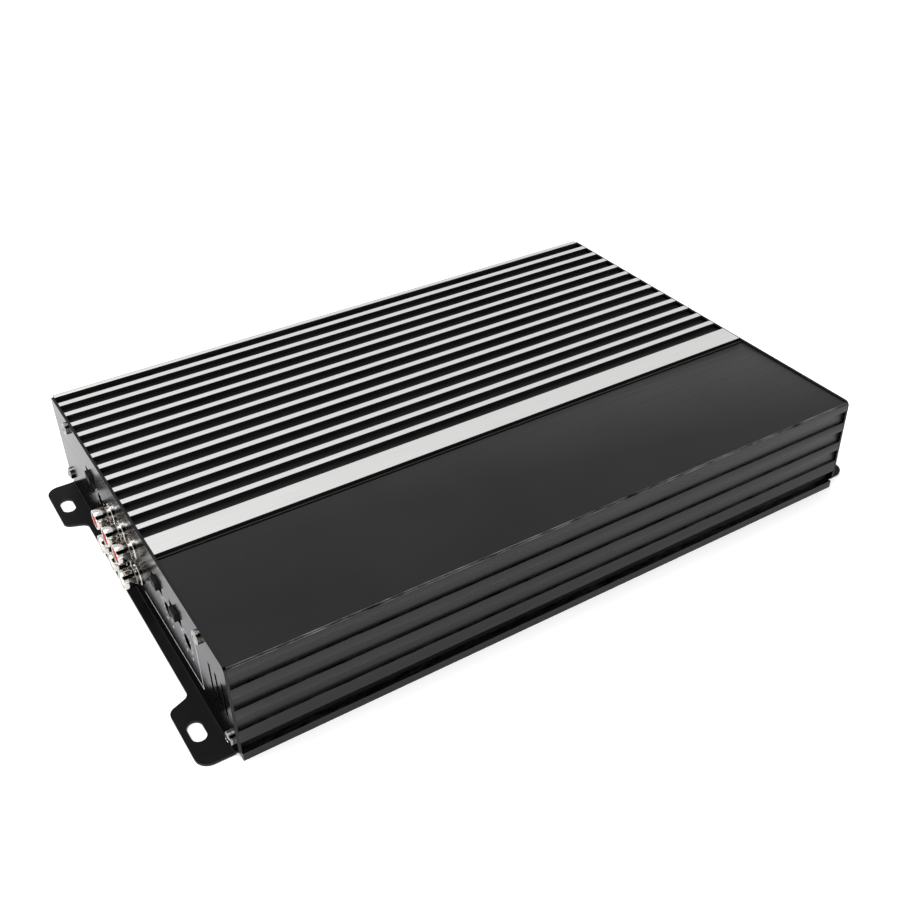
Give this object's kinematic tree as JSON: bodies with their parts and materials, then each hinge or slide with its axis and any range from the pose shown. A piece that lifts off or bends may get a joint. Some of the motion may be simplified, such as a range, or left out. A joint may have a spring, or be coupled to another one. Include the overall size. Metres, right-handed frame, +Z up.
{
  "type": "car amplifier",
  "caption": "Flat finned car amplifier: black ribbed extrusion with bright fin tops, bent end panels with slotted tabs, phono inputs, switches, level controls, terminals and blade fuses.",
  "frame": {"origin": "centre of the underside, on the plane that the tabs and the extrusion stand on", "axes": "+X along the fins towards the power end, +Y from the plain side of the top to the finned side, +Z up out of the fins"},
  "size_m": [0.3434, 0.214, 0.05],
  "materials": {
    "black_anodised": "satin black anodised aluminium, fin tops milled bright",
    "panel_black": "gloss black over bent steel",
    "plate_black": "matt black coated steel",
    "bright_screw": "bright plated steel",
    "dark_screw": "zinc plated steel",
    "board_green": "solder mask over glass fibre",
    "black_moulding": "black moulded plastic",
    "nickel": "nickel plated",
    "signal_red": "red moulded plastic",
    "signal_white": "white moulded plastic",
    "contact_gold": "gold plated brass",
    "tin_shell": "tinned sheet steel",
    "knob_black": "matt black nylon",
    "pot_housing": "blue moulded plastic",
    "shaft_grey": "grey acetal",
    "fuse_amber": "clear amber plastic",
    "blade_tin": "tin plated zinc",
    "lamp_green": "clear green lens",
    "core_grey": "coated ferrite",
    "copper": "enamelled copper wire",
    "can_sleeve": "dark shrink sleeve, bare aluminium top",
    "chip_black": "moulded epoxy",
    "pad_grey": "grey thermal pad",
    "bar_steel": "plated steel bar"
  },
  "bodies": {
    "chassis": {"heat_sink": "black_anodised", "bottom_plate": "plate_black", "input_panel": "panel_black", "power_panel": "panel_black", "input_panel_screws": "bright_screw", "power_panel_screws": "bright_screw", "bottom_screws": "dark_screw", "circuit_board": "board_green", "jack_housing": "black_moulding", "jack_barrels": "nickel", "jack_insulators_red": "signal_red", "jack_insulators_white": "signal_white", "jack_contacts": "contact_gold", "switch_housings": "tin_shell", "level_control_housings": "pot_housing", "speaker_terminal_block": "black_moulding", "speaker_terminal_clamps": "contact_gold", "speaker_terminal_screws": "dark_screw", "supply_terminal_block": "black_moulding", "supply_terminal_clamps": "contact_gold", "supply_terminal_screws": "dark_screw", "fuse_holder": "black_moulding", "fuse_clips": "contact_gold", "indicator_lamps": "lamp_green", "transformer_core": "core_grey", "transformer_winding": "copper", "reservoir_capacitors": "can_sleeve", "small_capacitors": "can_sleeve", "signal_chips": "chip_black", "front_transistors": "chip_black", "back_transistors": "chip_black", "insulating_pads": "pad_grey", "clamp_bars": "bar_steel", "clamp_screws": "dark_screw"},
    "front_filter_knob": {"front_filter_knob": "knob_black"},
    "input_mode_knob": {"input_mode_knob": "knob_black"},
    "rear_filter_knob": {"rear_filter_knob": "knob_black"},
    "front_level_shaft": {"front_level_shaft": "shaft_grey"},
    "front_crossover_shaft": {"front_crossover_shaft": "shaft_grey"},
    "rear_level_shaft": {"rear_level_shaft": "shaft_grey"},
    "fuse_a": {"fuse_a": "fuse_amber", "fuse_a_blades": "blade_tin"},
    "fuse_b": {"fuse_b": "fuse_amber", "fuse_b_blades": "blade_tin"}
  },
  "joints": [
    {"name": "front_filter_slide", "type": "slide", "parent": "chassis", "child": "front_filter_knob", "axis": [0, 1, 0], "range_m": [-0.0024, 0.0024]},
    {"name": "input_mode_slide", "type": "slide", "parent": "chassis", "child": "input_mode_knob", "axis": [0, 1, 0], "range_m": [-0.0024, 0.0024]},
    {"name": "rear_filter_slide", "type": "slide", "parent": "chassis", "child": "rear_filter_knob", "axis": [0, 1, 0], "range_m": [-0.0024, 0.0024]},
    {"name": "front_level_turn", "type": "hinge", "parent": "chassis", "child": "front_level_shaft", "pos_m": [-0.15, -0.064, 0.0276], "axis": [1, 0, 0], "range_deg": [-140, 140]},
    {"name": "front_crossover_turn", "type": "hinge", "parent": "chassis", "child": "front_crossover_shaft", "pos_m": [-0.15, -0.0425, 0.0276], "axis": [1, 0, 0], "range_deg": [-140, 140]},
    {"name": "rear_level_turn", "type": "hinge", "parent": "chassis", "child": "rear_level_shaft", "pos_m": [-0.15, 0.0435, 0.0276], "axis": [1, 0, 0], "range_deg": [-140, 140]},
    {"name": "fuse_a_pull", "type": "slide", "parent": "chassis", "child": "fuse_a", "axis": [1, 0, 0], "range_m": [0, 0.016]},
    {"name": "fuse_b_pull", "type": "slide", "parent": "chassis", "child": "fuse_b", "axis": [1, 0, 0], "range_m": [0, 0.016]}
  ]
}
